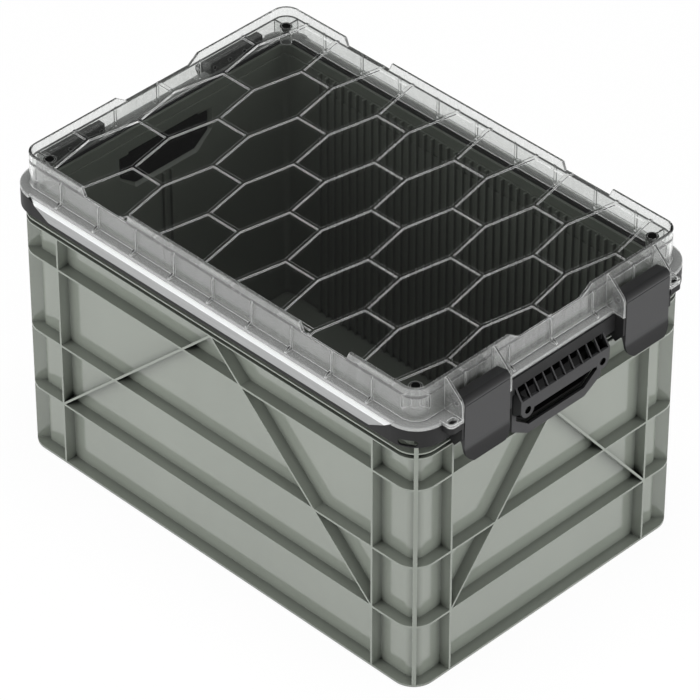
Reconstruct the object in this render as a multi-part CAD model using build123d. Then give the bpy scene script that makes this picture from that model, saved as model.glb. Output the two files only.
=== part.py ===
from build123d import *
import os

# Ribbed storage crate with a clear hinged lid, two latches and a carrying grip at each end.
# Millimetres. X is across the crate, Y runs from the latches to the hinges, Z is up.
# The origin is the middle of the base. Offsets are measured outwards from the rib edges.

# Crate body
LENGTH = 518.0
WIDTH = 349.6
CORNER_R = 23.0
RIB_DEPTH = 12.0
RIB_T = 2.2
WALL_T = 3.0
FLOOR_T = 3.2
WALL_TOP = 300.6
LEDGE_DROP = 10.3
LEDGE_STEP = 1.5
RIB_HEIGHTS = (71.7, 141.6, 230.4)
RIM_DROP = 27.9
RIM_PITCH = 5.6
RIM_T = 1.5
SEAT_DEPTH = 2.5
SEAT_T = 2.5
SIDE_FIN_INSET = 54.4
END_FIN_INSET = 46.1
CORNER_FIN_T = 4.0
JOIN = 1.0

# Divider ribs and slots inside the crate
DIVIDER_PITCH = 10.0
DIVIDER_COUNT = 40
DIVIDER_W = 2.0
DIVIDER_DEPTH = 3.6
BAND_TOP_DROP = 29.1
BAND_T = 0.8
SLOT_RIB_X = 5.0
SLOT_RIB_W = 2.4
SLOT_RIB_DEPTH = 3.0
SLOT_RIB_DROP = 5.0

# Hand holes in the two ends
HAND_INSET = 2.0
HAND_FLAT_INSET = 18.0
HAND_H = 34.7
HAND_SHOULDER_H = 14.0
HAND_STEP_INSET = 12.0
HAND_STEP = 2.4
HAND_BEVEL = 4.0

# Top frame
FRAME_OUT = 6.0
FRAME_CORNER_R = 32.0
FRAME_RISE = 0.4
FRAME_H = 18.0
FRAME_WALL_T = 2.5
FRAME_FIT = 0.3
STRAP_SLOT_L = 18.5
STRAP_SLOT_H = 6.5
STRAP_SLOT_RISE = 4.5
STRAP_SLOT_TURN = 14.0
GASKET_OFF = -6.4
GASKET_W = 2.6
GASKET_DEPTH = 1.2
WINDOW_INSET = 4.0
WINDOW_H = 6.0

# Aluminium side rails
RAIL_OUT = 6.6
RAIL_SEAT = 1.2
RAIL_H = 13.7
RAIL_BEVEL_H = 3.7
RAIL_BEVEL_OUT = 3.4
RAIL_DROP = 0.3
RAIL_LOW_INSET = 52.0
RAIL_TOP_INSET = 26.0
RAIL_BACK_T = 2.7

# Clear lid
LID_X_INSET = 4.6
LID_Y_INSET = 5.7
LID_R = 16.5
LID_GAP = 0.3
LID_T = 3.0
LID_WALL_H = 29.9
RIDGE_H = 9.0
RIDGE_T = 3.0
RIDGE_ROUND = 0.9
FLANGE_OUT = 4.0
FLANGE_T = 3.6
FLANGE_ROUND = 1.0
SIDE_NOTCH_Y = (113.0, 168.0)
SIDE_NOTCH_SLOPE = 4.0
END_NOTCH_X = 40.0
END_NOTCH_SLOPE = 14.5
HEX_COLUMN = 54.15
HEX_ROW = 50.0
HEX_EDGE = 39.5
HEX_RIB_W = 3.4
HEX_RIB_H = 1.7
WALL_RIB_W = 2.4
WALL_RIB_H = 1.6
WALL_RIB_TIP = 2.5
WALL_RIB_FOOT = 7.5
WALL_FOOT_H = 4.5

# Corner posts under the lid's plate, each with a rubber plug
POST_INSET = 18.2
POST_R = 6.2
POST_H = 18.0
POST_WEB_T = 2.0
POST_WEB_RISE = 5.0
PLUG_R = 4.4
PLUG_HEAD_H = 3.0
PLUG_STEM_R = 2.6
PLUG_H = 9.0
PLUG_FIT = 0.2

# Latches, one each side of the front grip
LATCH_INSET = 71.4
LATCH_W = 56.8
LATCH_REACH = 16.6
LATCH_SHELL_T = 2.6
LATCH_BEND_DROP = 11.0
LATCH_LIP_DROP = 28.8
LATCH_FLARE = 3.8
LATCH_LIP_R = 1.2
LATCH_CORNER_R = 14.0
LATCH_ROLL_R = 5.2
LATCH_GROOVE_H = 0.9
LATCH_GROOVE_D = 0.5
LATCH_PIN_REACH = 8.5
LATCH_PIN_RISE = 17.0
LATCH_PIN_R = 2.0
LATCH_PIN_BOSS_R = 4.6
LATCH_PIN_BOSS_L = 13.0
LATCH_BACK = 1.6
CREST_BACK = 8.5
CREST_DROP = 2.2
PIN_FIT = 0.05
CHEEK_GAP = 0.5
CHEEK_T = 2.5
CHEEK_REACH = 16.0
CHEEK_FOOT_H = 12.0
CATCH_W = 30.0
CATCH_DEPTH = 3.1
CATCH_H = 5.5
HOOK_FIT = 0.3
HOOK_T = 5.0
HOOK_TIP = 1.2
EAR_W = 14.5
EAR_REACH = 17.0
EAR_T = 6.0
EAR_R = 5.0
EYE_L = 10.5
EYE_W = 7.0
EYE_REACH = 11.2

# Hinges at the back
HINGE_INSET = 72.4
HINGE_W = 68.4
HINGE_REACH = 12.0
HINGE_RISE = 2.5
HINGE_R = 4.0
HINGE_PIN_R = 2.0
HINGE_PIN_END = 0.8
HINGE_KNUCKLES = 7
KNUCKLE_GAP = 0.4
LEAF_T = 3.2
FRAME_LEAF_H = 14.5
FRAME_LEAF_RISE = 1.5
FRAME_ARM_DROP = 13.5
LID_LEAF_DEPTH = 10.7
LID_LEAF_H = 12.6
LID_LEAF_ROUND = 2.5
LID_ARM_H = 7.5
SCREW_R = 1.6
SCREW_FIT = 0.1
SCREW_HEAD_R = 3.3
SCREW_HEAD_H = 1.8
SCREW_RIM = 0.6
SCREW_SLOT_W = 1.0
SCREW_SLOT_D = 0.8
SCREW_POCKET_R = 4.0
FRAME_SCREW_RISE = 7.5
LID_SCREW_RISE = 6.3

# Grips: an outer hood and an inner liner, a closed cup, at each end
GRIP_REACH = 14.0
GRIP_BAND_T = 2.6
GRIP_GAP = 14.0
GRIP_BAND_INSET = 0.6
GRIP_BAND_DROP = 18.7
GRIP_BAND_H = 13.3
GRIP_ROOT_RISE = 6.5
GRIP_RIBS = 9
GRIP_RIB_T = 1.4
GRIP_RIB_H = 5.0
GRIP_CHEEK_T = 2.0
GRIP_CHEEK_DROP = 24.5
LOBE_INSET = 9.5
LOBE_DROP = 17.8
LOBE_R = 8.0
DIMPLE_R = 3.8
DIMPLE_DEPTH = 4.5
BAR_T = 3.8
BAR_DROP = 56.5
BAR_FLAT_INSET = 21.0
BAR_SHOULDER_H = 12.5
BAR_BAND = 9.8
BAR_SIDE = 5.4
LINER_FIT = 0.3
LINER_T = 3.0
LINER_TOP_BAR = 11.0
LINER_IN = 14.4
LINER_BACK_T = 2.0
COLLAR_INSET = 3.5
COLLAR_T = 4.2
COLLAR_LIP_T = 1.7
GRIP_SCREW_L = 9.0

HALF_X = WIDTH / 2
HALF_Y = LENGTH / 2
PANEL_OFF = -RIB_DEPTH
INSIDE_OFF = PANEL_OFF - WALL_T
WALL_OFF = INSIDE_OFF - LEDGE_STEP
SIDE_FIN_Y = HALF_Y - SIDE_FIN_INSET
END_FIN_X = HALF_X - END_FIN_INSET
LEDGE_Z = WALL_TOP - LEDGE_DROP
RIM_Z = WALL_TOP - RIM_DROP
HAND_TOP_Z = RIM_Z
HAND_LOW_Z = HAND_TOP_Z - HAND_H
HAND_SHOULDER_Z = HAND_LOW_Z + HAND_SHOULDER_H
FRAME_TOP_Z = WALL_TOP + FRAME_RISE
FRAME_LOW_Z = FRAME_TOP_Z - FRAME_H
FRAME_FACE_Y = HALF_Y + FRAME_OUT
RAIL_TOP_Z = FRAME_TOP_Z - RAIL_DROP
RAIL_LOW_Z = RAIL_TOP_Z - RAIL_H
RAIL_LOW_Y = HALF_Y - RAIL_LOW_INSET
RAIL_TOP_Y = HALF_Y - RAIL_TOP_INSET
LID_X = HALF_X - LID_X_INSET
LID_Y = HALF_Y - LID_Y_INSET
FLANGE_LOW_Z = FRAME_TOP_Z + LID_GAP
FLANGE_TOP_Z = FLANGE_LOW_Z + FLANGE_T
LID_PLATE_Z = FLANGE_LOW_Z + LID_WALL_H
LID_CEILING_Z = LID_PLATE_Z - LID_T
LID_TOP_Z = LID_PLATE_Z + RIDGE_H
LATCH_X = HALF_X - LATCH_INSET
LATCH_FACE_Y = HALF_Y + LATCH_REACH
LATCH_PIN_Y = HALF_Y + LATCH_PIN_REACH
LATCH_PIN_Z = FRAME_TOP_Z + LATCH_PIN_RISE
LATCH_BEND_Z = FRAME_LOW_Z - LATCH_BEND_DROP
LATCH_LOW_Z = FRAME_LOW_Z - LATCH_LIP_DROP
CHEEK_IN = LATCH_W / 2 + CHEEK_GAP
BAR_X = LATCH_X - CHEEK_IN - CHEEK_T - GRIP_GAP
BAR_FLAT_X = BAR_X - BAR_FLAT_INSET
GRIP_BAND_X = BAR_X - GRIP_BAND_INSET
LOBE_X = BAR_X - LOBE_INSET
COLLAR_X = BAR_X - COLLAR_INSET
WINDOW_X = BAR_X - WINDOW_INSET
HAND_X = BAR_X - HAND_INSET
HAND_FLAT_X = HAND_X - HAND_FLAT_INSET
HAND_STEP_X = HAND_X - HAND_STEP_INSET
CHEEK_OUT_Y = HALF_Y + CHEEK_REACH
EAR_END_X = LATCH_X + CHEEK_IN + CHEEK_T + EAR_W
HINGE_X = HALF_X - HINGE_INSET
HINGE_Y = HALF_Y + HINGE_REACH
HINGE_Z = FRAME_TOP_Z + HINGE_RISE
FRAME_SCREW_Z = FRAME_LOW_Z + FRAME_SCREW_RISE
LID_SCREW_Z = FLANGE_TOP_Z + LID_SCREW_RISE
GRIP_FACE_Y = HALF_Y + GRIP_REACH
GRIP_ROOT_Z = FRAME_LOW_Z + GRIP_ROOT_RISE
GRIP_BAND_LOW_Z = FRAME_LOW_Z - GRIP_BAND_DROP
GRIP_BAND_TOP_Z = GRIP_BAND_LOW_Z + GRIP_BAND_H
LOBE_Z = FRAME_LOW_Z - LOBE_DROP
OVER = 5.0


def slab(off, z0, z1, corner=None):
    """Rounded block whose sides lie off from the rib edges."""
    radius = corner or max(CORNER_R + off, JOIN)
    outline = RectangleRounded(2 * (HALF_X + off), 2 * (HALF_Y + off), radius)
    return extrude(Pos(0, 0, z0) * outline, z1 - z0)


def ring(inner, outer, z0, z1, corner=None):
    return slab(outer, z0, z1, corner) - slab(inner, z0, z1)


def block(x0, x1, y0, y1, z0, z1):
    middle = Pos((x0 + x1) / 2, (y0 + y1) / 2, (z0 + z1) / 2)
    return middle * Box(abs(x1 - x0), abs(y1 - y0), abs(z1 - z0))


def along_x(points, x0, x1):
    """Prism along X from an outline of (y, z) points."""
    plane = Plane(origin=(x0, 0, 0), x_dir=(0, 1, 0), z_dir=(1, 0, 0))
    return extrude(plane * Polygon(*points, align=None), x1 - x0, dir=(1, 0, 0))


def along_y(points, y0, y1):
    """Prism along Y from an outline of (x, z) points."""
    plane = Plane(origin=(0, y0, 0), x_dir=(1, 0, 0), z_dir=(0, -1, 0))
    return extrude(plane * Polygon(*points, align=None), y1 - y0, dir=(0, 1, 0))


def rod_x(y, z, radius, x0, x1):
    return Pos((x0 + x1) / 2, y, z) * Rot(0, 90, 0) * Cylinder(radius, abs(x1 - x0))


def rod_y(x, z, radius, y0, y1):
    return Pos(x, (y0 + y1) / 2, z) * Rot(90, 0, 0) * Cylinder(radius, abs(y1 - y0))


def rod_z(x, y, radius, z0, z1):
    return Pos(x, y, (z0 + z1) / 2) * Cylinder(radius, z1 - z0)


def bar_points(p, q, thick):
    """Corners of a straight bar from p to q in a plane."""
    run = Vector(q[0] - p[0], q[1] - p[1])
    side = Vector(-run.Y, run.X).normalized() * (thick / 2)
    return [
        (p[0] + side.X, p[1] + side.Y),
        (q[0] + side.X, q[1] + side.Y),
        (q[0] - side.X, q[1] - side.Y),
        (p[0] - side.X, p[1] - side.Y),
    ]


def both_x(shape):
    return [shape, mirror(shape, about=Plane.YZ)]


def both_y(shape):
    return [shape, mirror(shape, about=Plane.XZ)]


def corners(shape):
    return [copy for half in both_x(shape) for copy in both_y(half)]


def hand_outline(grow):
    """Outline of a hand hole, wider and taller by grow all round, with its stepped top edge."""
    x = HAND_X + grow
    flat = HAND_FLAT_X + grow * 0.4
    step = HAND_STEP_X + grow
    low = HAND_LOW_Z - grow
    top = HAND_TOP_Z + grow
    right = [(flat, low), (x, HAND_SHOULDER_Z), (x, top), (step, top), (step, top + HAND_STEP)]
    return right + [(-x, z) for x, z in reversed(right)]


def hand_hole():
    """The rear hand hole with the bevel round its inner edge."""
    inner_y = HALF_Y + WALL_OFF
    hole = along_y(hand_outline(0), inner_y - OVER, HALF_Y + OVER)
    wide = Plane(origin=(0, inner_y, 0), x_dir=(1, 0, 0), z_dir=(0, -1, 0))
    narrow = Plane(origin=(0, inner_y + HAND_BEVEL, 0), x_dir=(1, 0, 0), z_dir=(0, -1, 0))
    mouth = wide * Polygon(*hand_outline(HAND_BEVEL), align=None)
    throat = narrow * Polygon(*hand_outline(0), align=None)
    return hole + loft([mouth, throat], ruled=True)


def make_crate_body():
    inner = PANEL_OFF - JOIN
    tub = slab(PANEL_OFF, 0, WALL_TOP)
    tub -= slab(WALL_OFF, FLOOR_T, LEDGE_Z)
    tub -= slab(INSIDE_OFF, LEDGE_Z, WALL_TOP)

    # Level ribs all round, then the two thin rim flanges
    rings = [(0.0, RIB_T)]
    rings += [(z - RIB_T / 2, z + RIB_T / 2) for z in RIB_HEIGHTS]
    low_flange = RIM_Z - RIM_PITCH
    rings += [(low_flange - RIM_T, low_flange), (RIM_Z - RIM_T, RIM_Z)]
    pieces = [ring(inner, 0, z0, z1) for z0, z1 in rings]
    pieces.append(ring(inner, PANEL_OFF + SEAT_DEPTH, FRAME_LOW_Z - SEAT_T, FRAME_LOW_Z))

    # Upright fins, with a wider one on each rounded corner that reaches the frame
    half = RIB_T / 2
    side_fin = block(HALF_X + inner, HALF_X, SIDE_FIN_Y - half, SIDE_FIN_Y + half, 0, low_flange)
    end_fin = block(END_FIN_X - half, END_FIN_X + half, HALF_Y + inner, HALF_Y, 0, low_flange)
    reach = RIB_DEPTH + JOIN
    fin_place = Pos(HALF_X - CORNER_R, HALF_Y - CORNER_R, FRAME_LOW_Z / 2) * Rot(0, 0, 45)
    corner_fin = fin_place * Pos(CORNER_R - reach / 2, 0, 0) * Box(reach, CORNER_FIN_T, FRAME_LOW_Z)
    pieces += corners(side_fin) + corners(end_fin) + corners(corner_fin)

    # Slanting braces that meet over the middle of each face
    foot_z = RIB_HEIGHTS[0]
    side_bar = bar_points((SIDE_FIN_Y, foot_z), (0, low_flange - RIM_T / 2), RIB_T)
    end_bar = bar_points((END_FIN_X, foot_z), (0, RIB_HEIGHTS[2]), RIB_T)
    pieces += corners(along_x(side_bar, HALF_X + inner, HALF_X))
    pieces += corners(along_y(end_bar, HALF_Y + inner, HALF_Y))

    # Divider ribs on the long walls, up to the ledge, over a band that ends a little lower
    wall_x = HALF_X + WALL_OFF
    wall_y = HALF_Y + WALL_OFF
    foot = FLOOR_T - JOIN
    first = -DIVIDER_PITCH * (DIVIDER_COUNT - 1) / 2
    for index in range(DIVIDER_COUNT):
        y = first + index * DIVIDER_PITCH
        y0, y1 = y - DIVIDER_W / 2, y + DIVIDER_W / 2
        pieces += both_x(block(wall_x - DIVIDER_DEPTH, wall_x + JOIN, y0, y1, foot, LEDGE_Z))
    band = block(wall_x - BAND_T, wall_x + JOIN, first, -first, foot, WALL_TOP - BAND_TOP_DROP)
    pieces += both_x(band)

    # A divider slot in the middle of each end
    x0, x1 = SLOT_RIB_X - SLOT_RIB_W / 2, SLOT_RIB_X + SLOT_RIB_W / 2
    slot_top = HAND_LOW_Z - SLOT_RIB_DROP
    pieces += corners(block(x0, x1, wall_y - SLOT_RIB_DEPTH, wall_y + JOIN, foot, slot_top))

    body = tub + pieces
    for cut in both_y(hand_hole()):
        body -= cut
    return body


def rail_outline(grow):
    """Outline of a side rail in Y and Z: its ends slant outwards towards the top."""
    slope = (RAIL_TOP_Y - RAIL_LOW_Y) / RAIL_H
    low, top = RAIL_LOW_Y + grow, RAIL_TOP_Y + grow + slope * grow
    return [(-low, RAIL_LOW_Z), (low, RAIL_LOW_Z), (top, RAIL_TOP_Z + grow), (-top, RAIL_TOP_Z + grow)]


def strap_slots():
    """Cutters through the frame's corners, all turned the same way from the diagonals."""
    centre_x = HALF_X + FRAME_OUT - FRAME_CORNER_R
    centre_y = HALF_Y + FRAME_OUT - FRAME_CORNER_R
    cutter = extrude(Plane.YZ * SlotOverall(STRAP_SLOT_L, STRAP_SLOT_H), 2 * FRAME_OUT)
    cutter = Pos(FRAME_CORNER_R - 1.6 * FRAME_OUT, 0, FRAME_LOW_Z + STRAP_SLOT_RISE) * cutter
    places = [(1, 1), (-1, 1), (-1, -1), (1, -1)]
    cuts = []
    for index, (sx, sy) in enumerate(places):
        turn = 45.0 + 90.0 * index - STRAP_SLOT_TURN
        cuts.append(Pos(sx * centre_x, sy * centre_y, 0) * Rot(0, 0, turn) * cutter)
    return cuts


def make_catch():
    face = -FRAME_FACE_Y
    profile = [
        (face, FRAME_LOW_Z),
        (face - CATCH_DEPTH, FRAME_LOW_Z + 0.15 * CATCH_H),
        (face - CATCH_DEPTH, FRAME_LOW_Z + 0.6 * CATCH_H),
        (face, FRAME_LOW_Z + CATCH_H),
    ]
    return along_x(profile, LATCH_X - CATCH_W / 2, LATCH_X + CATCH_W / 2)


def make_latch_keeper():
    """Catch of the right latch, the frame's cheeks on both sides of it and the lower padlock ear."""
    face, out = -FRAME_FACE_Y, -CHEEK_OUT_Y
    back = -HALF_Y - FRAME_FIT
    profile = [
        (face, FRAME_TOP_Z),
        (face, FRAME_LOW_Z),
        (back, FRAME_LOW_Z),
        (back, FRAME_LOW_Z - 0.6 * CHEEK_FOOT_H),
        (face - JOIN, FRAME_LOW_Z - CHEEK_FOOT_H),
        (out, FRAME_LOW_Z - 0.1 * CHEEK_FOOT_H),
        (out, FRAME_TOP_Z),
    ]
    inner_x, outer_x = LATCH_X - CHEEK_IN - CHEEK_T, LATCH_X + CHEEK_IN
    inner = along_x(profile, inner_x, inner_x + CHEEK_T)
    outer = along_x(profile, outer_x, outer_x + CHEEK_T)
    outer += make_ear(face, FRAME_TOP_Z - EAR_T, FRAME_TOP_Z)
    outer -= make_eye(FRAME_TOP_Z - EAR_T - JOIN, FRAME_TOP_Z + JOIN)
    return Compound(children=[inner, outer, make_catch()])


def make_top_frame():
    leg = PANEL_OFF + FRAME_FIT
    roof = FRAME_TOP_Z - FRAME_WALL_T
    frame = ring(leg, FRAME_OUT, FRAME_LOW_Z, FRAME_TOP_Z, FRAME_CORNER_R)
    channel_out = FRAME_OUT - FRAME_WALL_T
    frame -= ring(leg + FRAME_WALL_T, channel_out, FRAME_LOW_Z, roof, FRAME_CORNER_R - FRAME_WALL_T)

    # Long sides are thickened behind the rails, then recessed for them
    back_x = HALF_X + RAIL_SEAT
    end = RAIL_TOP_Y + RAIL_BACK_T
    backing = block(back_x - RAIL_BACK_T, HALF_X + FRAME_OUT - JOIN, -end, end, FRAME_LOW_Z, roof + JOIN)
    recess = along_x(rail_outline(FRAME_FIT), back_x, HALF_X + FRAME_OUT + OVER)
    for side in both_x(backing & slab(FRAME_OUT, FRAME_LOW_Z, roof + JOIN, FRAME_CORNER_R)):
        frame += side
    for side in both_x(recess):
        frame -= side

    # Strap slots, the seal's groove, windows behind the grips and screw holes
    cuts = strap_slots()
    seal_in, seal_out = GASKET_OFF - GASKET_W / 2, GASKET_OFF + GASKET_W / 2
    cuts.append(ring(seal_in, seal_out, FRAME_TOP_Z - GASKET_DEPTH, FRAME_TOP_Z + OVER))
    inner_y = FRAME_FACE_Y - FRAME_WALL_T - JOIN
    window_top = FRAME_LOW_Z + WINDOW_H
    window = block(-WINDOW_X, WINDOW_X, inner_y, FRAME_FACE_Y + JOIN, FRAME_LOW_Z - JOIN, window_top)
    cuts += both_y(window)
    cuts += [rod_y(x, z, SCREW_R + SCREW_FIT, HALF_Y, FRAME_FACE_Y + JOIN) for x, z in frame_screw_places()]
    for cut in cuts:
        frame -= cut
    return frame


def make_ear(root_y, z0, z1):
    """Padlock ear outside the right latch, from root_y outwards."""
    x0 = LATCH_X + CHEEK_IN + CHEEK_T / 2
    ear = block(x0, EAR_END_X, -HALF_Y - EAR_REACH, root_y, z0, z1)
    outer = ear.edges().filter_by(Axis.Z).sort_by(lambda edge: edge.center().X - edge.center().Y)
    return fillet(outer[-1], EAR_R)


def make_eye(z0, z1):
    outline = Pos(EAR_END_X - EAR_W / 2, -HALF_Y - EYE_REACH, z0) * SlotOverall(EYE_L, EYE_W)
    return extrude(outline, z1 - z0)


def make_gasket():
    low = FRAME_TOP_Z - GASKET_DEPTH
    return ring(GASKET_OFF - GASKET_W / 2, GASKET_OFF + GASKET_W / 2, low, FLANGE_LOW_Z)


def make_side_rail():
    profile = [
        (HALF_X + RAIL_SEAT, RAIL_LOW_Z),
        (HALF_X + RAIL_OUT, RAIL_LOW_Z),
        (HALF_X + RAIL_OUT, RAIL_TOP_Z - RAIL_BEVEL_H),
        (HALF_X + RAIL_BEVEL_OUT, RAIL_TOP_Z),
        (HALF_X + RAIL_SEAT, RAIL_TOP_Z),
    ]
    bar = along_y(profile, -HALF_Y, HALF_Y)
    return bar & along_x(rail_outline(0), HALF_X, HALF_X + RAIL_OUT + OVER)


def lid_outline(inset):
    return RectangleRounded(2 * (LID_X - inset), 2 * (LID_Y - inset), LID_R - inset)


def lid_prism(inset, z0, z1, top_round=0, foot_round=0):
    """Upright prism of the lid's outline with rounded top or foot edges."""
    prism = extrude(Pos(0, 0, z0) * lid_outline(inset), z1 - z0)
    if top_round:
        prism = fillet(prism.faces().sort_by(Axis.Z)[-1].edges(), top_round)
    if foot_round:
        prism = fillet(prism.faces().sort_by(Axis.Z)[0].edges(), foot_round)
    return prism


def hex_rib_sketch():
    """Honeycomb of upright and slanting bars, drawn out along Y."""
    half = HEX_EDGE / 2
    bars = []
    for column in range(-4, 4):
        shift = HEX_ROW if column % 2 else 0.0
        for row in range(-3, 4):
            x = column * HEX_COLUMN
            y = 2 * HEX_ROW * row + HEX_ROW - shift
            bars.append(((x, y - half), (x, y + half)))
            bars.append(((x, y + half), (x + HEX_COLUMN, y + HEX_ROW - half)))
            bars.append(((x, y - half), (x + HEX_COLUMN, y - HEX_ROW + half)))
    shapes = [Polygon(*bar_points(p, q, HEX_RIB_W), align=None) for p, q in bars]
    return (Sketch() + shapes) & lid_outline(RIDGE_T / 2)


def wall_rib(foot):
    """Outline of an outside rib on a lid wall: distance from the wall, then height."""
    low = FLANGE_TOP_Z - JOIN
    tip = (WALL_RIB_H, LID_PLATE_Z - WALL_RIB_TIP)
    points = [(-JOIN, low), (-JOIN, LID_PLATE_Z), (0.0, LID_PLATE_Z), tip]
    if foot:
        points.append((WALL_RIB_H, FLANGE_TOP_Z + WALL_FOOT_H))
        points.append((WALL_RIB_FOOT, FLANGE_TOP_Z + JOIN))
    return points + [(WALL_RIB_FOOT if foot else WALL_RIB_H, low)]


def wall_ribs():
    """Upright ribs on the lid's walls, in line with the honeycomb."""
    half = WALL_RIB_W / 2
    ribs = []
    for index in range(-4, 5):
        y = index * HEX_ROW
        profile = [(LID_X + out, z) for out, z in wall_rib(True)]
        ribs += both_x(along_y(profile, y - half, y + half))
    for index in range(-2, 3):
        x = index * HEX_COLUMN
        inner = abs(index) < 2
        profile = [(-LID_Y - out, z) for out, z in wall_rib(inner)]
        rib = along_x(profile, x - half, x + half)
        ribs += both_y(rib) if inner else [rib]
    return ribs


def make_flange():
    """The lid's flange, with wider lobes at the corners that lie flush with the frame."""
    z0, z1 = FLANGE_LOW_Z, FLANGE_TOP_Z
    flange = slab(FLANGE_OUT, z0, z1)
    lobes = slab(FRAME_OUT, z0, z1, FRAME_CORNER_R)
    flange = fillet(flange.faces().sort_by(Axis.Z)[-1].edges(), FLANGE_ROUND)
    lobes = fillet(lobes.faces().sort_by(Axis.Z)[-1].edges(), FLANGE_ROUND)
    free_x, free_y = EAR_END_X + JOIN, RAIL_TOP_Y + JOIN
    lobes -= block(-free_x, free_x, -LENGTH, LENGTH, z0 - JOIN, z1 + JOIN)
    lobes -= block(-WIDTH, WIDTH, -free_y, free_y, z0 - JOIN, z1 + JOIN)
    return flange + lobes


def lid_cheeks():
    """Clear plates that hold the pin of the right latch."""
    out = -CHEEK_OUT_Y
    brow_z = LID_TOP_Z - 0.1 * RIDGE_H
    profile = [
        (-LID_Y + JOIN, FLANGE_LOW_Z),
        (out, FLANGE_LOW_Z),
        (out, LATCH_PIN_Z + JOIN),
        (out + LATCH_PIN_R, LATCH_PIN_Z + LATCH_ROLL_R),
        (-LATCH_PIN_Y, (LATCH_PIN_Z + brow_z) / 2),
        (-LID_Y - CHEEK_T, brow_z),
        (-LID_Y + JOIN, brow_z),
    ]
    cheeks = []
    for x in (LATCH_X - CHEEK_IN - CHEEK_T, LATCH_X + CHEEK_IN):
        plate = along_x(profile, x, x + CHEEK_T)
        cheeks.append(plate - rod_x(-LATCH_PIN_Y, LATCH_PIN_Z, LATCH_PIN_R, x - JOIN, x + CHEEK_T + JOIN))
    return cheeks


def corner_post():
    """Post under the plate at one corner, tied to both walls by webs with slanting feet."""
    x, y = LID_X - POST_INSET, LID_Y - POST_INSET
    low, high = LID_CEILING_Z - POST_H, LID_CEILING_Z + JOIN
    side = [(x, low), (x, high), (LID_X - JOIN, high), (LID_X - JOIN, low + POST_WEB_RISE)]
    end = [(y, low), (y, high), (LID_Y - JOIN, high), (LID_Y - JOIN, low + POST_WEB_RISE)]
    half = POST_WEB_T / 2
    post = rod_z(x, y, POST_R, low, high)
    post += [along_y(side, y - half, y + half), along_x(end, x - half, x + half)]
    return post - rod_z(x, y, PLUG_R + PLUG_FIT, low - JOIN, LID_CEILING_Z)


def make_corner_plug():
    x, y = LID_X - POST_INSET, LID_Y - POST_INSET
    head_z = LID_CEILING_Z - PLUG_HEAD_H
    stem = rod_z(x, y, PLUG_STEM_R, LID_CEILING_Z - PLUG_H, head_z)
    return rod_z(x, y, PLUG_R, head_z, LID_CEILING_Z) + stem


def ridge_notches():
    """Notches in the stacking ridge: two on each long side, one on each end."""
    top = LID_TOP_Z + JOIN
    low, high = SIDE_NOTCH_Y
    slope = SIDE_NOTCH_SLOPE
    side = [(low - slope, top), (low, LID_PLATE_Z), (high, LID_PLATE_Z), (high + slope, top)]
    wide = END_NOTCH_X + END_NOTCH_SLOPE
    end = [(-wide, top), (-END_NOTCH_X, LID_PLATE_Z), (END_NOTCH_X, LID_PLATE_Z), (wide, top)]
    cuts = corners(along_x(side, LID_X - RIDGE_T - JOIN, LID_X + JOIN))
    return cuts + both_y(along_y(end, LID_Y - RIDGE_T - JOIN, LID_Y + JOIN))


def make_lid_shell():
    shell = lid_prism(0, FLANGE_LOW_Z, LID_TOP_Z, top_round=RIDGE_ROUND)
    shell += make_flange()
    shell -= lid_prism(LID_T, FLANGE_LOW_Z, LID_CEILING_Z, top_round=RIDGE_ROUND)
    shell -= lid_prism(RIDGE_T, LID_PLATE_Z, LID_TOP_Z + JOIN, foot_round=RIDGE_ROUND)
    for cut in ridge_notches():
        shell -= cut
    lattice = Pos(0, 0, LID_PLATE_Z - JOIN) * hex_rib_sketch()
    pieces = [extrude(lattice, HEX_RIB_H + JOIN, dir=(0, 0, 1))]
    pieces += wall_ribs() + corners(corner_post())
    for plate in lid_cheeks() + [make_ear(JOIN - HALF_Y - FLANGE_OUT, FLANGE_LOW_Z, FLANGE_TOP_Z)]:
        pieces += both_x(plate)
    shell = shell + pieces
    cuts = both_x(make_eye(FLANGE_LOW_Z - JOIN, FLANGE_TOP_Z + JOIN))
    cuts += [rod_y(x, z, SCREW_R + SCREW_FIT, LID_Y - LID_T - JOIN, LID_Y) for x, z in lid_screw_places()]
    for cut in cuts:
        shell -= cut
    return shell


def latch_profile(x0):
    """Side view of the latch: a roll over the pin, a flat face and a flared lip."""
    face, pin_y, pin_z = -LATCH_FACE_Y, -LATCH_PIN_Y, LATCH_PIN_Z
    t = LATCH_SHELL_T
    lip = face - LATCH_FLARE
    tip_z = LATCH_LOW_Z + LATCH_LIP_R
    roll_z = FRAME_TOP_Z + LATCH_PIN_RISE + JOIN
    crest_z = roll_z + LATCH_ROLL_R
    back, rear = pin_y + LATCH_BACK, pin_y + CREST_BACK
    with BuildSketch(Plane.YZ.offset(x0)) as side:
        with BuildLine():
            roll = RadiusArc((face, roll_z), (face + LATCH_ROLL_R, crest_z), LATCH_ROLL_R)
            rear_line = Polyline(
                roll @ 1,
                (rear, crest_z - CREST_DROP),
                (rear, crest_z - CREST_DROP - t),
                (back + LATCH_PIN_BOSS_R, pin_z - LATCH_PIN_BOSS_R),
                (back, pin_z - 2 * LATCH_PIN_BOSS_R),
                (back, LATCH_BEND_Z + CATCH_DEPTH * 3),
                (face + 1.5 * t, LATCH_BEND_Z + t),
                (face + t, LATCH_BEND_Z - t),
                (lip + t, tip_z),
            )
            tip = ThreePointArc(rear_line @ 1, (lip + t / 2, LATCH_LOW_Z), (lip, tip_z))
            middle = (face - 0.35 * LATCH_FLARE, (tip_z + LATCH_BEND_Z) / 2)
            flare = ThreePointArc(tip @ 1, middle, (face, LATCH_BEND_Z))
            Line(flare @ 1, roll @ 0)
        make_face()
    return side.sketch


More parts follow.
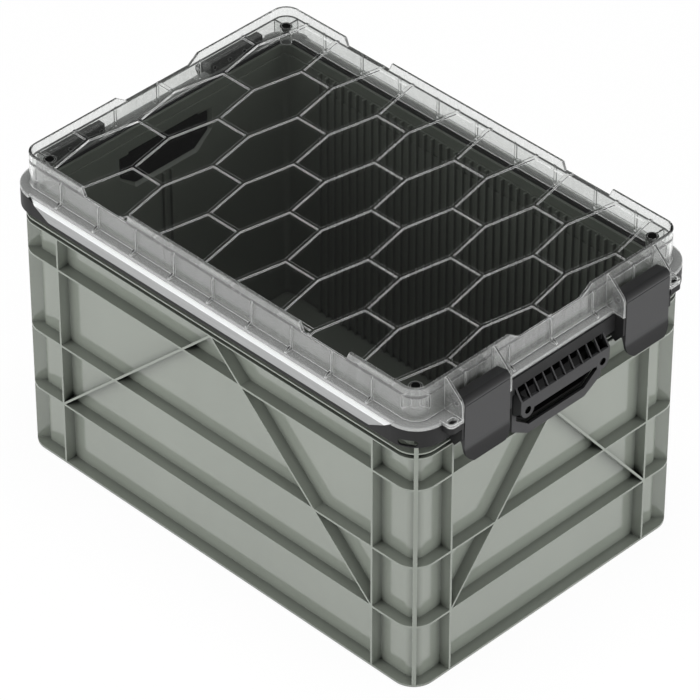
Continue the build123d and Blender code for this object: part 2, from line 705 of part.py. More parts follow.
def make_latch():
    """The latch at +X."""
    x0, x1 = LATCH_X - LATCH_W / 2, LATCH_X + LATCH_W / 2
    face, pin_y, pin_z = -LATCH_FACE_Y, -LATCH_PIN_Y, LATCH_PIN_Z
    t = LATCH_SHELL_T
    body = extrude(latch_profile(x0), x1 - x0)

    # Hollow behind the face, between the two side walls
    roof_z = pin_z + JOIN + LATCH_ROLL_R - t
    turn_y = face + LATCH_ROLL_R
    cavity = [
        (face + t, LATCH_BEND_Z - t / 2),
        (face + t, pin_z + JOIN),
        ((face + t + turn_y) / 2 - t / 4, (pin_z + JOIN + roof_z) / 2 + t / 4),
        (turn_y, roof_z),
        (pin_y + CREST_BACK + JOIN, roof_z - CREST_DROP),
        (pin_y + CREST_BACK + JOIN, LATCH_BEND_Z - t / 2),
    ]
    body -= along_x(cavity, x0 + t, x1 - t)
    for start in (x0 + JOIN, x1 - JOIN - LATCH_PIN_BOSS_L):
        body += rod_x(pin_y, pin_z, LATCH_PIN_BOSS_R, start, start + LATCH_PIN_BOSS_L)
    body -= rod_x(pin_y, pin_z, LATCH_PIN_R + PIN_FIT, x0 - JOIN, x1 + JOIN)

    # A groove across the face just below the roll
    groove_z = pin_z - LATCH_GROOVE_H
    groove_y = face + LATCH_GROOVE_D
    body -= block(x0 - JOIN, x1 + JOIN, face - JOIN, groove_y, groove_z, groove_z + LATCH_GROOVE_H)
    body += latch_hook()

    # Rounded lower corners of the lip
    height = LID_TOP_Z - LATCH_LOW_Z
    outline = Pos((x0 + x1) / 2, LATCH_LOW_Z + height / 2) * Rectangle(x1 - x0, height)
    outline = fillet(outline.vertices().sort_by(Axis.Y)[:2], LATCH_CORNER_R)
    plane = Plane(origin=(0, face - LATCH_FLARE - JOIN, 0), x_dir=(1, 0, 0), z_dir=(0, -1, 0))
    return body & extrude(plane * outline, LATCH_FACE_Y, dir=(0, 1, 0))


def latch_hook():
    """Hook under the frame's catch, left clear of it so that the lid and latch move freely."""
    root_y = -LATCH_FACE_Y + LATCH_SHELL_T - LATCH_GROOVE_D
    tip_y = -FRAME_FACE_Y - CATCH_DEPTH - HOOK_FIT
    top = FRAME_LOW_Z + HOOK_FIT
    profile = [
        (root_y, top - 1.6 * HOOK_T),
        (root_y, top - HOOK_TIP),
        (tip_y - HOOK_TIP, top),
        (tip_y, top),
        (tip_y, top - HOOK_T),
    ]
    return along_x(profile, LATCH_X - CATCH_W / 2 + JOIN, LATCH_X + CATCH_W / 2 - JOIN)


def make_latch_pin():
    reach = CHEEK_IN + CHEEK_T
    return rod_x(-LATCH_PIN_Y, LATCH_PIN_Z, LATCH_PIN_R, LATCH_X - reach, LATCH_X + reach)


def knuckle_span(index):
    """Ends along X of one hinge knuckle, counted from the inner end."""
    pitch = HINGE_W / HINGE_KNUCKLES
    start = HINGE_X - HINGE_W / 2 + index * pitch
    return start + KNUCKLE_GAP / 2, start + pitch - KNUCKLE_GAP / 2


def screw_places(knuckles, z):
    """Places of screws in line with the given knuckles of both hinges."""
    middles = [sum(knuckle_span(index)) / 2 for index in knuckles]
    return [(side * x, z) for side in (-1, 1) for x in middles]


def frame_screw_places():
    return screw_places((1, HINGE_KNUCKLES - 2), FRAME_SCREW_Z)


def lid_screw_places():
    return screw_places(range(0, HINGE_KNUCKLES, 2), LID_SCREW_Z)


def make_hinge_frame_leaf():
    """Leaf on the frame, with the outer and every second knuckle."""
    y0, y1 = FRAME_FACE_Y, FRAME_FACE_Y + LEAF_T
    low = FRAME_LOW_Z + FRAME_LEAF_RISE
    leaf = block(HINGE_X - HINGE_W / 2, HINGE_X + HINGE_W / 2, y0, y1, low, low + FRAME_LEAF_H)
    arm = [
        (y0, HINGE_Z - FRAME_ARM_DROP),
        (y1, HINGE_Z - FRAME_ARM_DROP),
        (HINGE_Y + HINGE_R, HINGE_Z - 0.75 * HINGE_R),
        (HINGE_Y + HINGE_R, HINGE_Z),
        (HINGE_Y - HINGE_R, HINGE_Z),
        (y0, low + FRAME_LEAF_H),
    ]
    for index in range(0, HINGE_KNUCKLES, 2):
        x0, x1 = knuckle_span(index)
        leaf += [along_x(arm, x0, x1), rod_x(HINGE_Y, HINGE_Z, HINGE_R, x0, x1)]
    leaf -= rod_x(HINGE_Y, HINGE_Z, HINGE_PIN_R, HINGE_X - HINGE_W, HINGE_X + HINGE_W)
    for x, z in frame_screw_places():
        leaf -= rod_y(x, z, SCREW_R + SCREW_FIT, y0 - JOIN, y1 + JOIN)
    return leaf


def make_hinge_lid_leaf():
    """Block on the lid's wall and flange, with pockets for its screws and the other knuckles."""
    x_low, x_high = HINGE_X - HINGE_W / 2, HINGE_X + HINGE_W / 2
    low, top = FLANGE_TOP_Z, FLANGE_TOP_Z + LID_LEAF_H
    back = LID_Y + LID_LEAF_DEPTH
    bend = LID_LEAF_ROUND
    profile = [(LID_Y, low), (back, low), (back, top - bend), (back - bend, top), (LID_Y, top)]
    leaf = along_x(profile, x_low, x_high)
    arm = [
        (back - JOIN, low),
        (HINGE_Y - HINGE_R, HINGE_Z),
        (HINGE_Y, HINGE_Z),
        (HINGE_Y, HINGE_Z + HINGE_R),
        (back - JOIN, low + LID_ARM_H),
    ]
    for index in range(1, HINGE_KNUCKLES, 2):
        x0, x1 = knuckle_span(index)
        leaf += [along_x(arm, x0, x1), rod_x(HINGE_Y, HINGE_Z, HINGE_R, x0, x1)]
    leaf -= rod_x(HINGE_Y, HINGE_Z, HINGE_PIN_R + PIN_FIT, HINGE_X - HINGE_W, HINGE_X + HINGE_W)
    for x, z in lid_screw_places():
        leaf -= rod_y(x, z, SCREW_POCKET_R, LID_Y + LEAF_T, back + JOIN)
        leaf -= rod_y(x, z, SCREW_R + SCREW_FIT, LID_Y - JOIN, LID_Y + LEAF_T + JOIN)
    return leaf


def make_hinge_pin():
    half = HINGE_W / 2 + HINGE_PIN_END
    return rod_x(HINGE_Y, HINGE_Z, HINGE_PIN_R, HINGE_X - half, HINGE_X + half)


def make_screw(x, z, seat_y, tip_y):
    """Screw along Y: a slotted head on seat_y and a shank that reaches tip_y."""
    way = 1.0 if seat_y > tip_y else -1.0
    end = seat_y + way * SCREW_HEAD_H
    head = rod_y(x, z, SCREW_HEAD_R, seat_y, end)
    outer = head.edges().filter_by(GeomType.CIRCLE).sort_by(Axis.Y)
    head = chamfer(outer[-1] if way > 0 else outer[0], SCREW_RIM)
    half = SCREW_SLOT_W / 2
    slot = block(x - SCREW_HEAD_R, x + SCREW_HEAD_R, end - way * SCREW_SLOT_D, end + way, z - half, z + half)
    return head - slot + rod_y(x, z, SCREW_R, tip_y, seat_y)


def grip_grille():
    """Sloping ribs from the frame down to the band, and closed cheeks at both ends."""
    back, face, root = -HALF_Y, -GRIP_FACE_Y, -FRAME_FACE_Y
    inner = face + GRIP_BAND_T
    rib = [
        (root, GRIP_ROOT_Z),
        (face, GRIP_BAND_TOP_Z),
        (inner, GRIP_BAND_TOP_Z - GRIP_BAND_T),
        (root, GRIP_ROOT_Z - GRIP_RIB_H),
    ]
    cheek = [
        (back, FRAME_LOW_Z - GRIP_CHEEK_DROP),
        (root, FRAME_LOW_Z - GRIP_CHEEK_DROP),
        (face, GRIP_BAND_LOW_Z),
        (face, GRIP_BAND_TOP_Z),
        (root, GRIP_ROOT_Z),
        (root, FRAME_LOW_Z),
        (back, FRAME_LOW_Z),
    ]
    span = 2 * (GRIP_BAND_X - GRIP_CHEEK_T)
    pitch = (span + GRIP_RIB_T) / (GRIP_RIBS + 1)
    pieces = []
    for index in range(GRIP_RIBS):
        x = (index + 1) * pitch - (span + GRIP_RIB_T) / 2
        pieces.append(along_x(rib, x - GRIP_RIB_T / 2, x + GRIP_RIB_T / 2))
    for x in (-GRIP_BAND_X, GRIP_BAND_X - GRIP_CHEEK_T):
        pieces.append(along_x(cheek, x, x + GRIP_CHEEK_T))
    return pieces


def grip_bar():
    """Flat bar that rings the lower half of the hand hole, open at the top."""
    wide, flat = BAR_X, BAR_FLAT_X
    top, low = FRAME_LOW_Z, FRAME_LOW_Z - BAR_DROP
    shoulder = low + BAR_SHOULDER_H
    bar = [(-wide, top), (-wide, shoulder), (-flat, low), (flat, low), (wide, shoulder), (wide, top)]
    in_wide, in_flat = wide - BAR_SIDE, flat - 0.1 * BAR_BAND
    right = [(in_flat, low + BAR_BAND), (in_wide, shoulder + BAR_BAND), (in_wide, top + JOIN)]
    gap = right + [(-x, z) for x, z in reversed(right)]
    return along_y(bar, -HALF_Y - BAR_T, -HALF_Y) - along_y(gap, -HALF_Y - BAR_T - JOIN, -HALF_Y + JOIN)


def make_grip_hood():
    """The front grip: a ribbed hood over a bar, with a screw in a dimple at each end."""
    face = -GRIP_FACE_Y
    hood = block(-GRIP_BAND_X, GRIP_BAND_X, face, face + GRIP_BAND_T, GRIP_BAND_LOW_Z, GRIP_BAND_TOP_Z)
    lobes = [rod_y(x, LOBE_Z, LOBE_R, face, -HALF_Y) for x in (-LOBE_X, LOBE_X)]
    hood = hood + grip_grille() + [grip_bar()] + lobes
    for x in (-LOBE_X, LOBE_X):
        hood -= rod_y(x, LOBE_Z, DIMPLE_R, face - JOIN, face + DIMPLE_DEPTH)
        hood -= rod_y(x, LOBE_Z, SCREW_R + SCREW_FIT, face, -HALF_Y + JOIN)
    return hood


def make_grip_liner():
    """Inner half of the front grip: a cup in the hole, closed towards the crate, under a collar."""
    inner_y = -HALF_Y + LINER_IN
    wide = HAND_X - LINER_FIT - LINER_T
    flat = HAND_FLAT_X - LINER_FIT - 0.4 * LINER_T
    low, top = HAND_LOW_Z + LINER_FIT + LINER_T, HAND_TOP_Z - LINER_TOP_BAR
    right = [(flat, low), (wide, HAND_SHOULDER_Z), (wide, top)]
    gap = right + [(-x, z) for x, z in reversed(right)]
    liner = along_y(hand_outline(-LINER_FIT), -HALF_Y, inner_y) - along_y(gap, -HALF_Y - JOIN, inner_y + JOIN)

    liner += along_y(hand_outline(-LINER_FIT), inner_y - LINER_BACK_T, inner_y)

    wall_y = -HALF_Y - PANEL_OFF - LINER_FIT
    seat_z = FRAME_LOW_Z - SEAT_T - LINER_FIT
    lip_y = wall_y - COLLAR_T + COLLAR_LIP_T
    collar = [
        (wall_y, HAND_TOP_Z - LINER_T),
        (wall_y, seat_z),
        (lip_y, seat_z),
        (lip_y, FRAME_LOW_Z - LINER_FIT),
        (wall_y - COLLAR_T, FRAME_LOW_Z - LINER_FIT),
        (wall_y - COLLAR_T, HAND_TOP_Z - LINER_T),
    ]
    liner += along_x(collar, -COLLAR_X, COLLAR_X)
    for x in (-LOBE_X, LOBE_X):
        liner -= rod_y(x, LOBE_Z, SCREW_R + SCREW_FIT, -HALF_Y - JOIN, -HALF_Y + GRIP_SCREW_L + JOIN)
    return liner


def grip_screws():
    seat = -GRIP_FACE_Y + DIMPLE_DEPTH
    front = [make_screw(x, LOBE_Z, seat, -HALF_Y + GRIP_SCREW_L) for x in (-LOBE_X, LOBE_X)]
    return front + [mirror(screw, about=Plane.XZ) for screw in front]


def frame_screws():
    seat, tip = FRAME_FACE_Y + LEAF_T, FRAME_FACE_Y - FRAME_WALL_T
    return [make_screw(x, z, seat, tip) for x, z in frame_screw_places()]


def lid_screws():
    return [make_screw(x, z, LID_Y + LEAF_T, LID_Y - LID_T) for x, z in lid_screw_places()]


def left_right(name, shape):
    """Two nodes, with the shape given at +X."""
    return {name + "_right": shape, name + "_left": mirror(shape, about=Plane.YZ)}


def front_rear(name, shape):
    """Two nodes, with the shape given at -Y."""
    return {"front_" + name: shape, "rear_" + name: mirror(shape, about=Plane.XZ)}


def group(shapes):
    return Compound(children=list(shapes))


os.makedirs("parts", exist_ok=True)
nodes = {
    "crate_body": make_crate_body(),
    "top_frame": make_top_frame(),
    "lid_gasket": make_gasket(),
    "lid_shell": make_lid_shell(),
    "lid_corner_plugs": group(corners(make_corner_plug())),
    "grip_screws": group(grip_screws()),
    "hinge_frame_screws": group(frame_screws()),
    "hinge_lid_screws": group(lid_screws()),
}
nodes |= front_rear("grip_hood", make_grip_hood())
nodes |= front_rear("grip_liner", make_grip_liner())
nodes |= left_right("side_rail", make_side_rail())
nodes |= left_right("latch_keeper", make_latch_keeper())
nodes |= left_right("latch", make_latch())
nodes |= left_right("latch_pin", make_latch_pin())
nodes |= left_right("hinge_frame_leaf", make_hinge_frame_leaf())
nodes |= left_right("hinge_lid_leaf", make_hinge_lid_leaf())
nodes |= left_right("hinge_pin", make_hinge_pin())

for name, shape in nodes.items():
    export_step(shape, os.path.join("parts", name + ".step"))
    print(name, len(shape.solids()), "solids")
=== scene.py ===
import math
from functools import reduce

import bpy
from bpy.props import FloatProperty, FloatVectorProperty, PointerProperty
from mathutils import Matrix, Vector


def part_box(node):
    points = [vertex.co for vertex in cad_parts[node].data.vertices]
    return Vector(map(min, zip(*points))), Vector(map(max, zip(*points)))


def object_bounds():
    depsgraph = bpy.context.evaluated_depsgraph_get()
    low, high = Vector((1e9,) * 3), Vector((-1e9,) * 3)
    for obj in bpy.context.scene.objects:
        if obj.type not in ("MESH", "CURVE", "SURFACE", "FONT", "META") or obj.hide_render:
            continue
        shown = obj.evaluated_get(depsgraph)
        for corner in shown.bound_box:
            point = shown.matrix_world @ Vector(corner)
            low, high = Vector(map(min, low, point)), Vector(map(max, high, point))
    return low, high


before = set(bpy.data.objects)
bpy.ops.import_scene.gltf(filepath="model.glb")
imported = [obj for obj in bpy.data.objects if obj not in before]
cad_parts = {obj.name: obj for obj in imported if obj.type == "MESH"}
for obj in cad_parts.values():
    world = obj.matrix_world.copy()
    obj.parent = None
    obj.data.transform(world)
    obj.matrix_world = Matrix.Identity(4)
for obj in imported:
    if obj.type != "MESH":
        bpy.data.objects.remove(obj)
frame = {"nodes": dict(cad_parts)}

bl_info = {
    "name": "Storage Crate Finishes",
    "version": (1, 0, 0),
    "blender": (4, 5, 0),
    "location": "View3D > Sidebar > Crate",
    "description": "Moulded plastic, clear lid and aluminium finishes and a studio "
                   "for the storage crate",
    "category": "Object",
}

CAD_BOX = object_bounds()
NODES = frame["nodes"]
MM = 0.001

# Where a finish changes: up to a height, a drop from the top (painted shade on the latch's crest
# above it), or between ribs this close (painted shade in the corners between them)
FLANGE_HEIGHT = 5.0 * MM
CREST_DROP = 5.0 * MM
LIP_HEIGHT = 14.0 * MM
RIB_SHADE_REACH = 8.0 * MM
HOOD_SHADE_REACH = 14.0 * MM

# Shader settings: EDGE_SPAN is how far the rounded normal turns from flat to a full edge,
# the shade is the painted shade of deep corners, and the colours are the clear lid's haze with its
# painted edge highlight and the painted shade of its far edges
BEVEL_SAMPLES = 4
OPENNESS_SAMPLES = 8
EDGE_SPAN = (0.01, 0.25)
NYLON_GRAIN = {"waves": 1800, "detail": 3, "rough": 0.6}
NYLON_BUMP = {"depth": 0.03 * MM, "strength": 0.6}
NYLON_GLOSS = 0.22
PAINTED_CORNER_SHADE = 0.04
HAZE_AND_EDGE_HIGHLIGHT = (0.97, 0.98, 0.97, 1.0)
FAR_EDGE_PAINTED_SHADE = (0.01, 0.01, 0.01, 1.0)
WHITE = (1.0, 1.0, 1.0, 1.0)

# The studio in metres and degrees, its lamps and the sky's dark cap as directions from the origin
FLOOR_REACH = 9.0
FLOOR_GAP = 0.2 * MM
FLOOR_SHADE = (0.9, 0.9, 0.9, 1.0)
FLOOR_GLOW = 0.95
CAP_WAY = (0.32, 0.32, 0.97)
CAP_SPAN = (0.60, 0.95)
SKY_SPAN = (0.05, 0.8)
SIDE_LAMPS = ((-1.0, 0.35, 0.27), (0.35, -1.0, 0.27))
SIDE_SIZE = (3.6, 2.2)
ROOF_LAMP = (0.0, 0.0, 1.0)
ROOF_SIZE = (1.4, 1.4)
LAMP_DISTANCE = 3.0
CAMERA_PLACE = (-2.5500, -2.5519, 2.9985)
CAMERA_TURN = (51.736, 0.0, -45.011)
CAMERA_CLIP = (0.1, 60.0)
SENSOR_WIDTH = 36.0


def colour(name, description, default):
    """A colour a user may change, in scene linear values."""
    return FloatVectorProperty(name=name, description=description, default=default,
                               subtype="COLOR", size=3, min=0, max=1)


def level(name, description, default, lowest=0.0):
    """A number a user may change."""
    return FloatProperty(name=name, description=description, default=default, min=lowest)


class CrateColours(bpy.types.PropertyGroup):
    """Colours of the crate's plastics and metals."""

    crate: colour("Crate", "Sage plastic of the ribbed crate", (0.182, 0.199, 0.172))
    frame: colour("Frame", "Dark plastic of the top frame", (0.016, 0.016, 0.0163))
    latch: colour("Latch", "Dark plastic of the latches", (0.039, 0.039, 0.040))
    grip: colour("Grip", "Dark plastic of the grip hoods", (0.033, 0.033, 0.034))
    liner: colour("Liner", "Black plastic of liners, hinges and plugs", (0.003, 0.003, 0.003))
    rail: colour("Rail", "Anodised aluminium of the side rails", (0.35, 0.355, 0.355))
    steel: colour("Pins", "Turned steel of the pins", (0.40, 0.40, 0.41))
    clear: colour("Clear lid", "Clear plastic of the lid", (0.97, 0.98, 0.97))


class StudioLevels(bpy.types.PropertyGroup):
    """Levels of the studio round the crate."""

    sky: level("Sky", "Strength of the sky at the horizon", 0.9)
    top: level("Top", "Share of the sky's strength that is left overhead", 0.35)
    cap: level("Cap", "Strength of the dark cap behind and above", 0.05)
    key: level("Key", "Power of each side lamp in watts", 84.0)
    roof: level("Roof", "Power of the lamp overhead in watts", 52.0)
    lens: level("Lens", "Focal length in millimetres", 253.97, lowest=1.0)


class Link:
    """An output of a finish's node. Sums, products and the like of links add their Math nodes."""

    def __init__(self, finish, socket):
        self.finish = finish
        self.socket = socket

    def _maths(self, operation, *terms):
        return self.finish.node("ShaderNodeMath", {"operation": operation}, dict(enumerate(terms)))

    def __add__(self, other):
        return self._maths("ADD", self, other)

    def __sub__(self, other):
        return self._maths("SUBTRACT", self, other)

    def __rsub__(self, other):
        return self._maths("SUBTRACT", other, self)

    def __mul__(self, other):
        return self._maths("MULTIPLY", self, other)

    def __lt__(self, other):
        return self._maths("LESS_THAN", self, other)

    def __abs__(self):
        return self._maths("ABSOLUTE", self)

    def larger(self, other):
        """The larger of the link and other."""
        return self._maths("MAXIMUM", self, other)

    __radd__ = __add__
    __rmul__ = __mul__


class Finish:
    """A material or world, made from nodes."""

    def __init__(self, owner):
        self.owner = owner
        owner.use_nodes = True
        self.tree = owner.node_tree
        self.tree.nodes.clear()

    def node(self, kind, settings=None, sockets=None, out=0):
        """Adds a node with settings and the values or links of its sockets. Gives its output."""
        made = self.tree.nodes.new(kind)
        for key, value in (settings or {}).items():
            setattr(made, key, value)
        for key, value in (sockets or {}).items():
            if isinstance(value, Link):
                self.tree.links.new(value.socket, made.inputs[key])
            else:
                made.inputs[key].default_value = value
        return Link(self, made.outputs[out]) if made.outputs else None

    def outputs(self, link, keys):
        """Links of several outputs of the node that link comes from."""
        return [Link(self, link.socket.node.outputs[key]) for key in keys]

    def apart(self, vector):
        """The X, Y and Z links of a vector."""
        return self.outputs(self.node("ShaderNodeSeparateXYZ", sockets={0: vector}), range(3))

    def dot(self, first, second):
        """Dot product of two vectors."""
        settings = {"operation": "DOT_PRODUCT"}
        return self.node("ShaderNodeVectorMath", settings, {0: first, 1: second}, out="Value")

    def place(self):
        """Where a point lies on the piece, in metres."""
        return self.node("ShaderNodeTexCoord", out="Object")

    def height(self):
        """How high a point lies on the piece, in metres."""
        return self.apart(self.place())[2]

    def normal(self):
        """The surface's normal without bumps or rounding."""
        return self.node("ShaderNodeNewGeometry", out="Normal")

    def upward(self):
        """1 on faces that look up, 0 on walls and -1 on undersides."""
        return self.apart(self.normal())[2]

    def rays(self, *kinds):
        """1 for rays of any of the kinds, which are named as Light Path does, otherwise 0."""
        keys = ["Is %s Ray" % kind for kind in kinds]
        return reduce(Link.larger, self.outputs(self.node("ShaderNodeLightPath"), keys))

    def noise(self, waves, detail=2.0, stretch=(1, 1, 1), rough=0.5):
        """Smooth noise from 0 to 1 with so many waves per metre, fewer where stretch is small."""
        settings = {"operation": "MULTIPLY"}
        spot = self.node("ShaderNodeVectorMath", settings, {0: self.place(), 1: stretch})
        sockets = {"Vector": spot, "Scale": waves, "Detail": detail, "Roughness": rough}
        return self.node("ShaderNodeTexNoise", sockets=sockets)

    def between(self, value, low, high, at_low=0.0, at_high=1.0):
        """Smooth step of value from low to high."""
        settings = {"interpolation_type": "SMOOTHSTEP"}
        sockets = {"Value": value, "From Min": low, "From Max": high,
                   "To Min": at_low, "To Max": at_high}
        return self.node("ShaderNodeMapRange", settings, sockets)

    def until(self, value, low, high):
        """1 up to low and 0 from high on."""
        return self.between(value, low, high, 1.0, 0.0)

    def blend(self, factor, first, second):
        """Colour between first and second."""
        sockets = {0: factor, 6: first, 7: second}
        return self.node("ShaderNodeMix", {"data_type": "RGBA"}, sockets, out=2)

    def mottled(self, base, mask, span, shades):
        """Colour that goes from one shade of base to another as mask goes through span."""
        return self.blend(self.between(mask, *span), *[rgba(base, shade) for shade in shades])

    def softened(self, radius):
        """The surface's normal with its edges rounded by radius."""
        return self.node("ShaderNodeBevel", {"samples": BEVEL_SAMPLES}, {"Radius": radius})

    def edges(self, rounded):
        """About 1 on sharp outer edges and 0 on flats."""
        return self.between(1.0 - self.dot(rounded, self.normal()), *EDGE_SPAN)

    def openness(self, reach):
        """1 in the open, falling to 0 deep between ribs that stand closer than reach; it places
        painted shade.
        """
        settings = {"samples": OPENNESS_SAMPLES}
        return self.node("ShaderNodeAmbientOcclusion", settings, {"Distance": reach}, out="AO")

    def bumped(self, height, depth, strength, normal=None):
        """Normal of a surface that rises by depth where height is 1."""
        sockets = {"Height": height, "Distance": depth, "Strength": strength}
        if normal is not None:
            sockets["Normal"] = normal
        return self.node("ShaderNodeBump", sockets=sockets)

    def principled(self, body, rough, normal, others=None):
        """Principled shader with its colour, roughness, normal and other sockets."""
        sockets = {"Base Color": body, "Roughness": rough, "Normal": normal, **(others or {})}
        return self.node("ShaderNodeBsdfPrincipled", sockets=sockets)

    def mixed(self, factor, first, second):
        """Shader between first and second."""
        return self.node("ShaderNodeMixShader", sockets={0: factor, 1: first, 2: second})

    def finish(self, shader):
        """Ends a material with its shader and gives the material back."""
        self.node("ShaderNodeOutputMaterial", sockets={"Surface": shader})
        return self.owner


def rgba(values, shade=1.0):
    """A colour as four values, made darker or paler by shade."""
    return tuple(min(1.0, value * shade) for value in values[:3]) + (1.0,)


def new_finish(name):
    """An empty material to make a finish in."""
    return Finish(bpy.data.materials.new(name))


def sage_plastic(name, base):
    """Moulded polypropylene: glossy panels with flow marks, a painted highlight on edges, and
    painted shade between close ribs and in deep corners.
    """
    make = new_finish(name)
    rounded = make.softened(0.6 * MM)
    edge = make.edges(rounded)
    grain = make.noise(waves=2600)
    flow = make.noise(waves=9, detail=3, stretch=(1, 1, 0.35))
    scuff = make.between(make.noise(waves=240, detail=6, rough=0.75), 0.62, 0.78)
    opened = make.openness(RIB_SHADE_REACH)
    body = make.mottled(base, flow, span=(0.3, 0.7), shades=(0.965, 1.03))
    # Painted highlight: edges are made paler.
    body = make.blend(edge * 0.6, body, rgba(base, 1.6))
    # Painted shade: darker between close ribs, near black in deep corners and slots.
    body = make.blend(make.between(opened, 0.5, 0.95), rgba(base, 0.8), body)
    body = make.blend(make.between(opened, 0.15, 0.5), rgba(base, PAINTED_CORNER_SHADE), body)
    rough = 0.08 + 0.03 * grain + 0.06 * scuff + 0.16 * edge
    normal = make.bumped(grain, depth=0.012 * MM, strength=0.5, normal=rounded)
    gloss = {"IOR": 1.5, "Specular IOR Level": 0.9}
    return make.finish(make.principled(body, rough, normal, gloss))


def dark_plastic(name, base, rough=0.42, gloss=NYLON_GLOSS, edge_highlight=1.7, shade_reach=0.0):
    """Glass-filled nylon: spark-eroded grain, a painted highlight on its edges, and, when a reach
    is given, a dark sheet of painted shade where ribs stand closer than that."""
    make = new_finish(name)
    rounded = make.softened(0.45 * MM)
    edge = make.edges(rounded)
    grain = make.noise(**NYLON_GRAIN)
    cloud = make.noise(waves=45, detail=3)
    body = make.mottled(base, cloud, span=(0.3, 0.7), shades=(0.92, 1.08))
    # Painted highlight: edges are made paler by the given share.
    body = make.blend(edge * 0.5, body, rgba(base, edge_highlight))
    normal = make.bumped(grain, normal=rounded, **NYLON_BUMP)
    rough = rough + 0.10 * grain - 0.05 * edge
    shader = make.principled(body, rough, normal, {"Specular IOR Level": gloss})
    # Painted shade: a dark diffuse sheet where ribs stand close.
    if shade_reach:
        dark = make.node("ShaderNodeBsdfDiffuse", sockets={"Color": rgba(base, PAINTED_CORNER_SHADE)})
        shader = make.mixed(make.between(make.openness(shade_reach), 0.45, 0.95), dark, shader)
    return make.finish(shader)


def latch_plastic(name, base, crest, lip):
    """The latches' nylon: painted shade above the height crest, darker below lip, with a coarse lip
    and a painted highlight on its edges.
    """
    make = new_finish(name)
    rounded = make.softened(0.5 * MM)
    edge = make.edges(rounded)
    height = make.height()
    above = make.between(height, crest - 1.0 * MM, crest + 2.5 * MM)
    below = make.until(height, lip - 2.0 * MM, lip + 3.0 * MM)
    grain = make.noise(**NYLON_GRAIN)
    grip = make.noise(waves=700, stretch=(1, 1, 0.6))
    # Painted shade on the crest; the lip is darker plastic.
    body = make.blend(above.larger(below), rgba(base), rgba(base, 0.4))
    # Painted highlight: edges are made paler.
    body = make.blend(edge * 0.35, body, rgba(base, 1.7))
    rough = 0.42 + 0.10 * grain + 0.12 * below
    normal = make.bumped(grain + below * grip, normal=rounded, **NYLON_BUMP)
    return make.finish(make.principled(body, rough, normal, {"Specular IOR Level": NYLON_GLOSS}))


def anodised(name, base):
    """Blasted and anodised aluminium: faint drawing lines along Y and a painted highlight on the
    upward-facing bevel.
    """
    make = new_finish(name)
    lines = make.noise(waves=900, detail=3, stretch=(1, 0.02, 1))
    blast = make.noise(waves=4200)
    body = make.mottled(base, lines, span=(0.35, 0.65), shades=(0.95, 1.04))
    # Painted highlight: faces that look up, the bevel, are made much paler.
    body = make.blend(make.between(make.upward(), 0.25, 0.5), body, rgba(base, 2.6))
    rough = 0.30 + 0.08 * lines + 0.05 * blast
    normal = make.bumped(blast, depth=0.012 * MM, strength=0.6, normal=make.softened(1.2 * MM))
    return make.finish(make.principled(body, rough, normal, {"Metallic": 0.65}))


def turned_steel(name, base):
    """Turned pins: fine rings round the X axis."""
    make = new_finish(name)
    rings = make.noise(waves=3000, stretch=(1, 0.05, 0.05))
    normal = make.bumped(rings, depth=0.01 * MM, strength=0.6)
    return make.finish(make.principled(rgba(base), 0.28 + 0.12 * rings, normal, {"Metallic": 1.0}))


def black_screw(name, base):
    """Black oxide screws with a painted highlight on their rims."""
    make = new_finish(name)
    rounded = make.softened(0.25 * MM)
    spots = make.noise(waves=1500, detail=3)
    # Painted highlight: rims are made much paler.
    body = make.blend(make.edges(rounded) * 0.5, rgba(base, 1.6), rgba(base, 6.0))
    normal = make.bumped(spots, depth=0.01 * MM, strength=0.5, normal=rounded)
    return make.finish(make.principled(body, 0.38 + 0.1 * spots, normal, {"Metallic": 0.7}))


def soft_rubber(name, base):
    """Matte rubber or foam with a porous skin."""
    make = new_finish(name)
    pores = make.noise(waves=2400, detail=4, rough=0.7)
    body = make.mottled(base, pores, span=(0.35, 0.6), shades=(0.8, 1.5))
    normal = make.bumped(pores, depth=0.05 * MM, strength=0.7)
    return make.finish(make.principled(body, 0.75 + 0.15 * pores, normal))


def clear_plastic(name, base, rim):
    """Polished polycarbonate: a painted highlight on edges, painted shade where edges and haze turn
    away from the viewer, drag lines down its walls and a dull flange up to the height rim. It is
    plain and tinted for shadow and diffuse rays."""
    make = new_finish(name)
    rounded = make.softened(0.9 * MM)
    # The edge mask places a painted highlight; the walls and flange get a real haze.
    edge = make.between(make.edges(rounded), 0.0, 0.5)
    wall = make.until(abs(make.upward()), 0.3, 0.7)
    drag = make.noise(waves=420, detail=3, stretch=(1, 1, 0.04))
    flange = make.until(make.height(), rim, rim + 0.5 * MM)
    haze_and_highlight_mask = (edge * 0.95).larger(wall * (0.03 + 0.12 * drag)).larger(flange * 0.17)

    spots = make.between(make.noise(waves=400, detail=4, rough=0.7), 0.55, 0.8)
    ripple = make.bumped(make.noise(waves=60), depth=0.02 * MM, strength=0.2)
    polish = {"IOR": 1.6, "Transmission Weight": 1.0}
    clear = make.principled(rgba(base), 0.012 + 0.02 * spots, ripple, polish)

    # The pale colour is the haze and the painted edge highlight; the dark one is painted shade
    # where the surface turns away.
    pale, dark = [make.principled(shade, 0.18, rounded) for shade in (HAZE_AND_EDGE_HIGHLIGHT, FAR_EDGE_PAINTED_SHADE)]
    away = make.node("ShaderNodeLayerWeight", sockets={"Normal": rounded}, out="Facing")
    hazed_and_painted_edges = make.mixed(make.between(away, 0.62, 0.86), pale, dark)
    solid = make.mixed(haze_and_highlight_mask, clear, hazed_and_painted_edges)
    through = make.node("ShaderNodeBsdfTransparent", sockets={"Color": rgba(base, 0.55)})
    return make.finish(make.mixed(make.rays("Shadow", "Diffuse"), solid, through))


